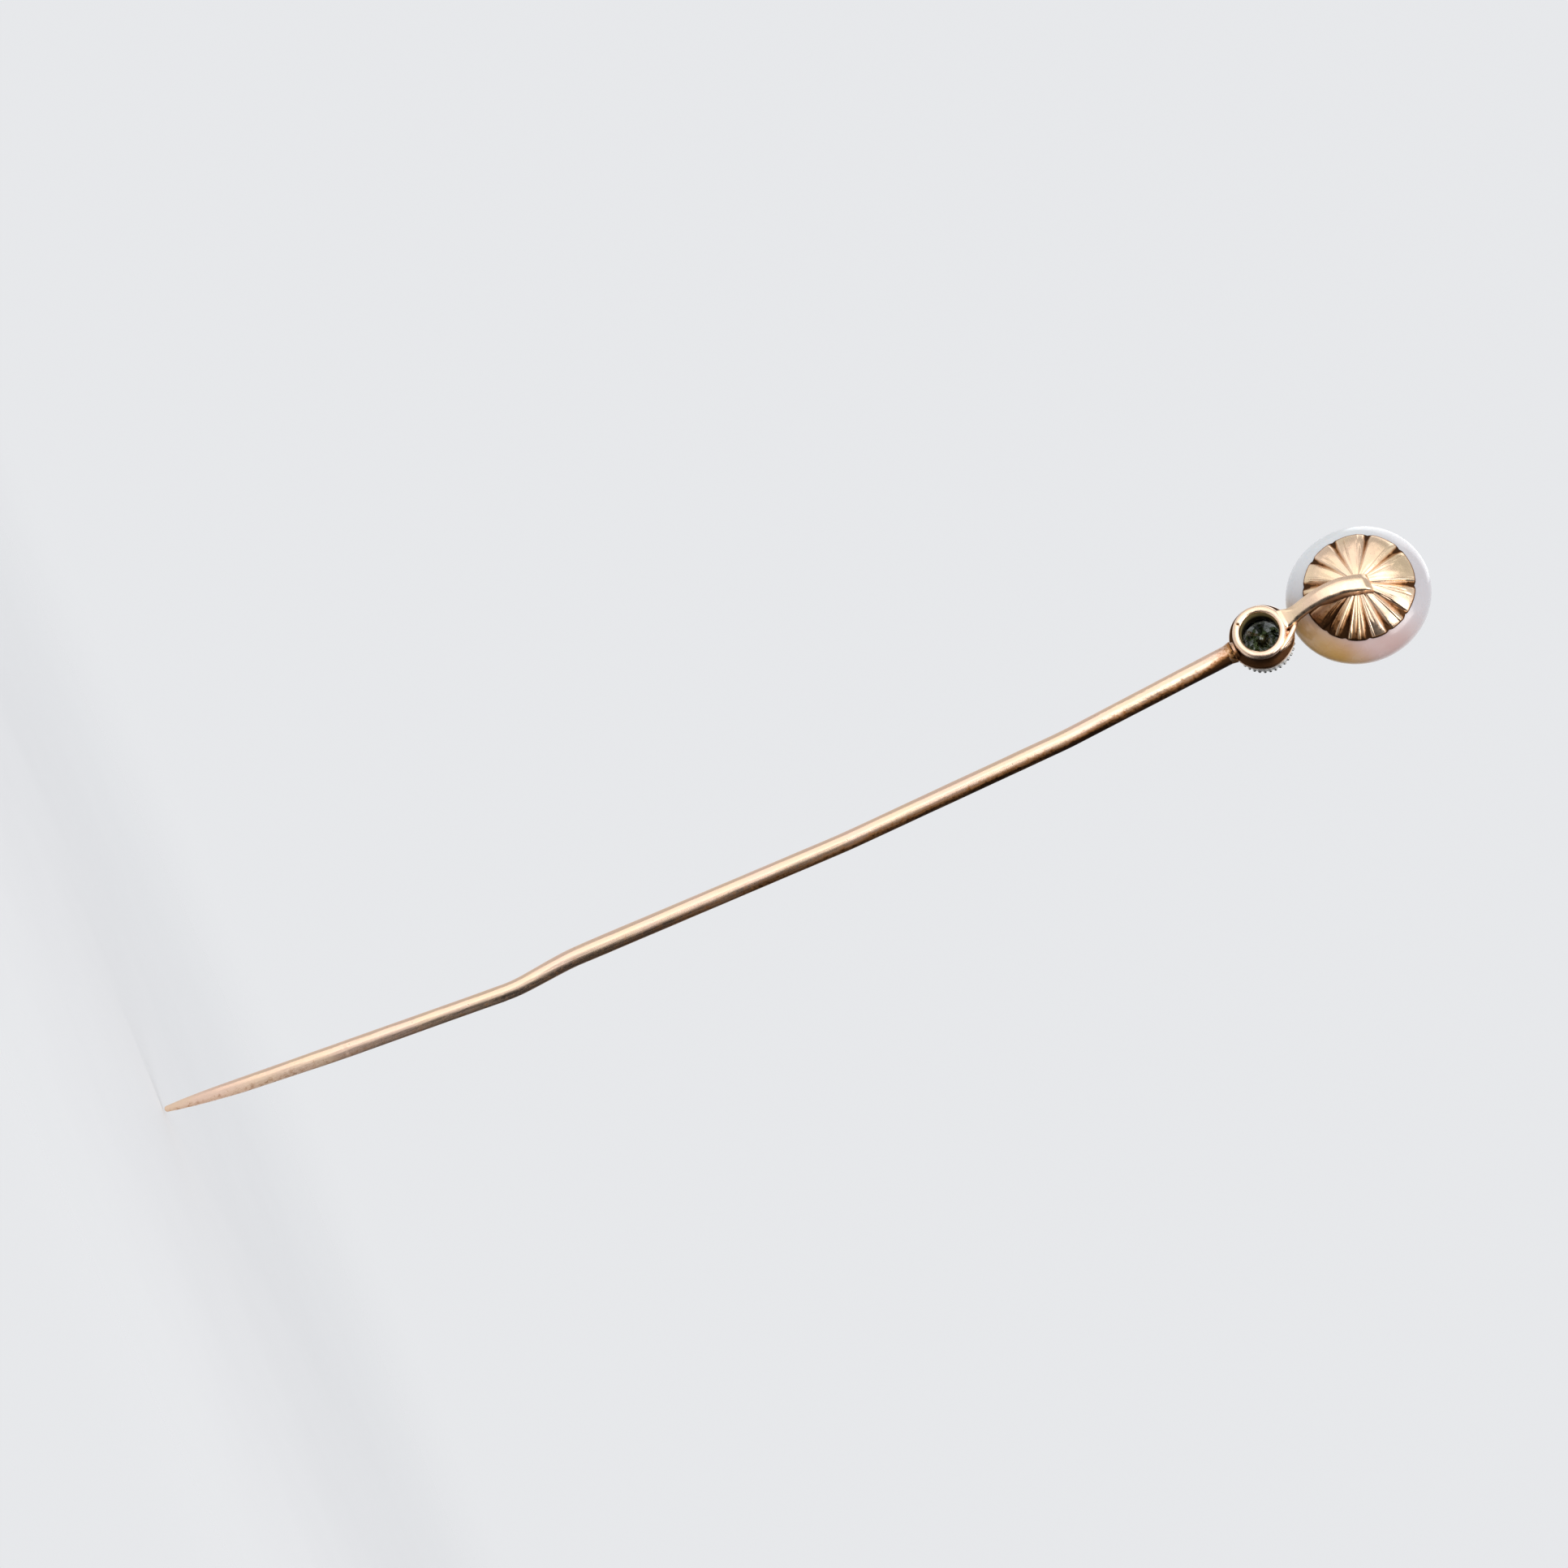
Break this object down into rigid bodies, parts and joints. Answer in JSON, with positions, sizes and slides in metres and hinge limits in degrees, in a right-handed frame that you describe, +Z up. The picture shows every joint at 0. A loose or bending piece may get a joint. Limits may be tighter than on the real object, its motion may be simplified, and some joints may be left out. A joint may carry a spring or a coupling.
{
  "type": "stick pin",
  "caption": "Stick pin with a bent tapered wire stem and a head of a button pearl on a fluted cup, joined by an arm to a small open-backed collet with a diamond.",
  "frame": {"origin": "on the axis of the stem's straight grip, at the middle of the stretch where a keeper slides on", "axes": "+Z up along the pin towards the pearl head; the pearl and the diamond face -Y; +X to the right seen from the front"},
  "size_m": [0.0062, 0.0059, 0.061],
  "materials": {
    "gold_wire": "drawn rose-yellow gold wire, softly polished, with fine streaks and small pits",
    "gold": "polished rose-yellow gold with light wear and dark tarnish in the recesses",
    "solder": "gold solder, a little darker and browner than the gold",
    "white_metal": "platinum-white metal with a grained edge",
    "diamond": "clear faceted stone",
    "pearl": "nacre: lustrous white with pink, lilac and ochre tints",
    "cement": "old setting cement"
  },
  "bodies": {
    "root": {"stem": "gold_wire", "stem_solder": "solder", "collet": "gold", "bezel": "white_metal", "diamond": "diamond", "arm": "gold", "arm_solder": "solder", "cup": "gold", "pearl": "pearl", "pearl_peg": "gold_wire", "peg_cement": "cement"}
  },
  "joints": []
}
